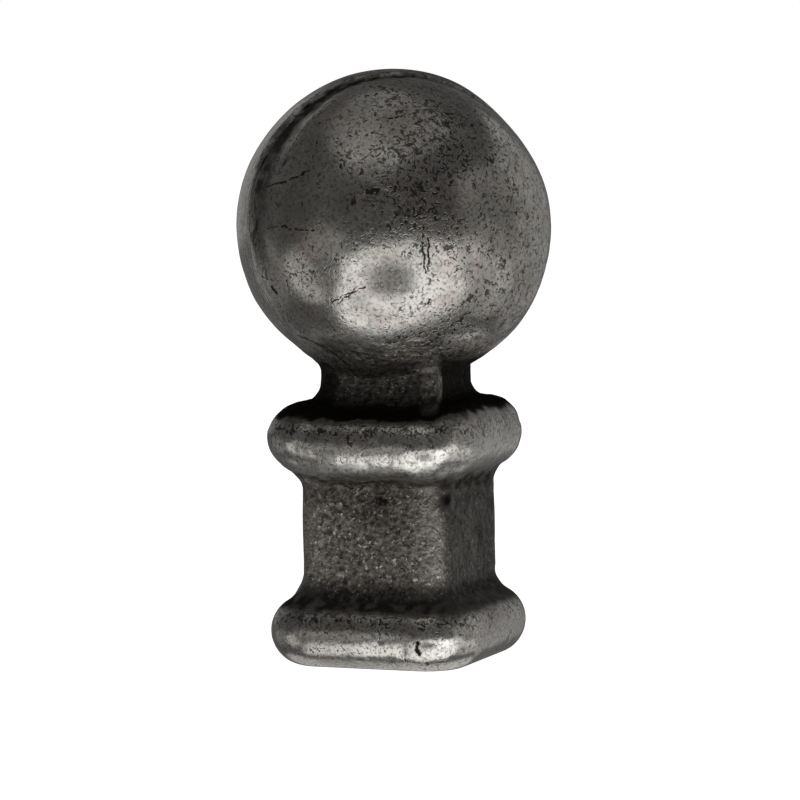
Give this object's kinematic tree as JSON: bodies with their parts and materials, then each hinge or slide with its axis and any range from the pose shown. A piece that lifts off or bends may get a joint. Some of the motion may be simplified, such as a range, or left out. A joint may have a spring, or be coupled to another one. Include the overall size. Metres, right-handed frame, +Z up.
{
  "type": "ball-topped fence spike",
  "caption": "Cast iron fence spike: a ball on a square neck above a square shaft set between rounded square collars, with a flat underside that seats on a railing bar.",
  "frame": {"origin": "middle of the flat underside of the lower collar", "axes": "+Z up along the spike's axis, -Y out of the front face, +X out of the right face"},
  "size_m": [0.0505, 0.0498, 0.0942],
  "materials": {
    "cast_iron": "bare burnished cast iron, dark and pitted, with a dull metallic gloss"
  },
  "bodies": {
    "root": {"spike_casting": "cast_iron"}
  },
  "joints": []
}
